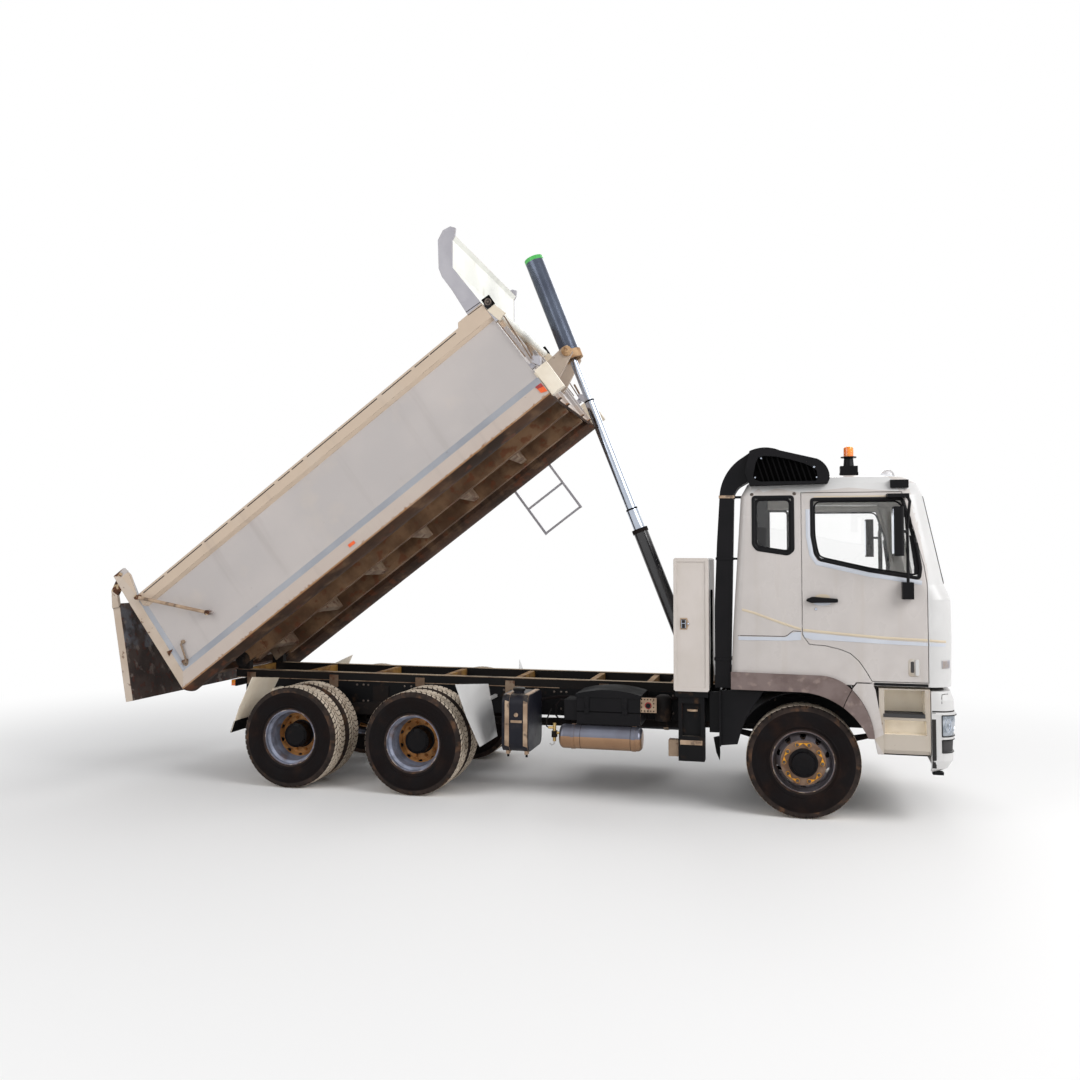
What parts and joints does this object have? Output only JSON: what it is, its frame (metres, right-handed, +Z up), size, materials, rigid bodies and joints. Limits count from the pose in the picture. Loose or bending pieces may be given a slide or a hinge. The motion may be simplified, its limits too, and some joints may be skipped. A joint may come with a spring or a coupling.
{
  "type": "three-axle tipping dump truck",
  "caption": "Cab-over dump truck with a hinged steel tray raised by a telescopic front hoist, tailgate hanging open.",
  "frame": {"origin": "on the ground below the middle of the vehicle's length and width", "axes": "+X forward, +Y to the left, +Z up"},
  "size_m": [8.5731, 3, 5.7089],
  "materials": {
    "amber_glass": "amber lens",
    "black_frame": "dusty black chassis paint",
    "black_plastic": "textured black plastic",
    "cast_black": "dusty cast iron",
    "chrome": "hard chrome with oil film",
    "cream_paint": "weathered cream paint with rust at the edges",
    "dark_trim": "moulded trim",
    "engine_grey": "cast iron",
    "grey_plastic": "scuffed grey plastic",
    "lamp_glass": "clear lens",
    "polished_metal": "polished",
    "rim_steel": "dirty bright rim with a rusty hub",
    "seat_cloth": "dark woven cloth",
    "tan_casting": "tan primer",
    "tank_blue": "blue-black paint",
    "tyre_rubber": "dusty rubber",
    "white_paint": "weathered white gloss paint",
    "window_glass": "clear"
  },
  "bodies": {
    "chassis": {"chassis_rails": "black_frame", "subframe": "black_frame", "engine": "engine_grey", "front_axle": "cast_black", "drive_axles": "cast_black", "springs": "cast_black", "propshafts": "cast_black", "tanks": "tank_blue", "battery_box": "black_plastic", "air_tank": "polished_metal", "locker": "white_paint", "locker_bracket": "black_frame", "mudguards": "cream_paint", "bumper": "white_paint", "lamps": "lamp_glass", "cab_steps": "white_paint", "flare_ends": "grey_plastic"},
    "cab": {"cab_shell": "white_paint", "cab_glass": "window_glass", "arch_flares": "grey_plastic", "grille": "black_plastic", "roof_intake": "black_plastic", "beacon": "amber_glass", "roof_fittings": "black_plastic", "seats": "seat_cloth", "dashboard": "dark_trim"},
    "door_right": {"door_right": "white_paint", "door_glass_right": "window_glass", "mirror_right": "black_plastic"},
    "door_left": {"door_left": "white_paint", "door_glass_left": "window_glass", "mirror_left": "black_plastic"},
    "knuckle_left": {"knuckle_left": "cast_black"},
    "knuckle_right": {"knuckle_right": "cast_black"},
    "tray": {"tray_body": "cream_paint", "tray_frame": "cream_paint", "head_guard": "cream_paint", "hoist_bracket": "cream_paint", "ladder": "cream_paint"},
    "tailgate": {"tailgate": "cream_paint"},
    "hoist_barrel": {"hoist_barrel": "black_frame"},
    "hoist_sleeve_1": {"hoist_sleeve_1": "chrome"},
    "hoist_sleeve_2": {"hoist_sleeve_2": "chrome"},
    "hoist_cover": {"hoist_rod": "chrome", "hoist_cover": "black_frame", "hoist_collar": "tan_casting"},
    "wheel_front_left": {"wheel_front_left": "rim_steel", "tyre_front_left": "tyre_rubber"},
    "wheel_front_right": {"wheel_front_right": "rim_steel", "tyre_front_right": "tyre_rubber"},
    "wheel_mid_left": {"wheel_mid_left": "rim_steel", "tyre_mid_left": "tyre_rubber"},
    "wheel_mid_right": {"wheel_mid_right": "rim_steel", "tyre_mid_right": "tyre_rubber"},
    "wheel_rear_left": {"wheel_rear_left": "rim_steel", "tyre_rear_left": "tyre_rubber"},
    "wheel_rear_right": {"wheel_rear_right": "rim_steel", "tyre_rear_right": "tyre_rubber"}
  },
  "joints": [
    {"name": "steer_left", "type": "hinge", "parent": "chassis", "child": "knuckle_left", "pos_m": [2.89, 0.88, 0.51], "axis": [0, 0, 1], "range_deg": [-36, 36]},
    {"name": "steer_right", "type": "hinge", "parent": "chassis", "child": "knuckle_right", "pos_m": [2.89, -0.88, 0.51], "axis": [0, 0, 1], "range_deg": [-36, 36]},
    {"name": "roll_front_left", "type": "hinge", "parent": "knuckle_left", "child": "wheel_front_left", "pos_m": [2.89, 1.03, 0.51], "axis": [0, 1, 0], "continuous": true},
    {"name": "roll_front_right", "type": "hinge", "parent": "knuckle_right", "child": "wheel_front_right", "pos_m": [2.89, -1.03, 0.51], "axis": [0, 1, 0], "continuous": true},
    {"name": "roll_mid_left", "type": "hinge", "parent": "chassis", "child": "wheel_mid_left", "pos_m": [-0.844, 0.93, 0.51], "axis": [0, 1, 0], "continuous": true},
    {"name": "roll_mid_right", "type": "hinge", "parent": "chassis", "child": "wheel_mid_right", "pos_m": [-0.844, -0.93, 0.51], "axis": [0, 1, 0], "continuous": true},
    {"name": "roll_rear_left", "type": "hinge", "parent": "chassis", "child": "wheel_rear_left", "pos_m": [-2.171, 0.93, 0.51], "axis": [0, 1, 0], "continuous": true},
    {"name": "roll_rear_right", "type": "hinge", "parent": "chassis", "child": "wheel_rear_right", "pos_m": [-2.171, -0.93, 0.51], "axis": [0, 1, 0], "continuous": true},
    {"name": "cab_tilt", "type": "hinge", "parent": "chassis", "child": "cab", "pos_m": [4.09, 0, 0.72], "axis": [0, 1, 0], "range_deg": [0, 45]},
    {"name": "door_left_swing", "type": "hinge", "parent": "cab", "child": "door_left", "pos_m": [3.95, 1.218, 1.9], "axis": [0, 0, -1], "range_deg": [0, 70]},
    {"name": "door_right_swing", "type": "hinge", "parent": "cab", "child": "door_right", "pos_m": [3.95, -1.218, 1.9], "axis": [0, 0, 1], "range_deg": [0, 70]},
    {"name": "tray_tilt", "type": "hinge", "parent": "chassis", "child": "tray", "pos_m": [-3.16, 0, 1.2], "axis": [0, -1, 0], "range_deg": [-37.07, 7.93]},
    {"name": "tailgate_swing", "type": "hinge", "parent": "tray", "child": "tailgate", "pos_m": [-4.19014, 0, 2.15381], "axis": [0, 1, 0], "range_deg": [-26.3, 50]},
    {"name": "hoist_lean", "type": "hinge", "parent": "chassis", "child": "hoist_barrel", "pos_m": [1.9, 0, 1], "axis": [0, -1, 0], "range_deg": [-12.06, 2.59]},
    {"name": "sleeve_1_slide", "type": "slide", "parent": "hoist_barrel", "child": "hoist_sleeve_1", "axis": [-0.3656, 0, 0.9308], "range_m": [-0.3605, 0.0775]},
    {"name": "sleeve_2_slide", "type": "slide", "parent": "hoist_sleeve_1", "child": "hoist_sleeve_2", "axis": [-0.3656, 0, 0.9308], "range_m": [-1.3805, 0.2957]},
    {"name": "cover_slide", "type": "slide", "parent": "hoist_sleeve_2", "child": "hoist_cover", "axis": [-0.3656, 0, 0.9308], "range_m": [-1.4025, 0.3004]}
  ],
  "couplings": [
    {"joint": "steer_right", "follows": "steer_left", "ratio": 1},
    {"joint": "hoist_lean", "follows": "tray_tilt", "ratio": 0.32505},
    {"joint": "sleeve_1_slide", "follows": "tray_tilt", "m_per_rad": 0.55642},
    {"joint": "sleeve_2_slide", "follows": "tray_tilt", "m_per_rad": 2.1329},
    {"joint": "cover_slide", "follows": "tray_tilt", "m_per_rad": 2.1669}
  ]
}
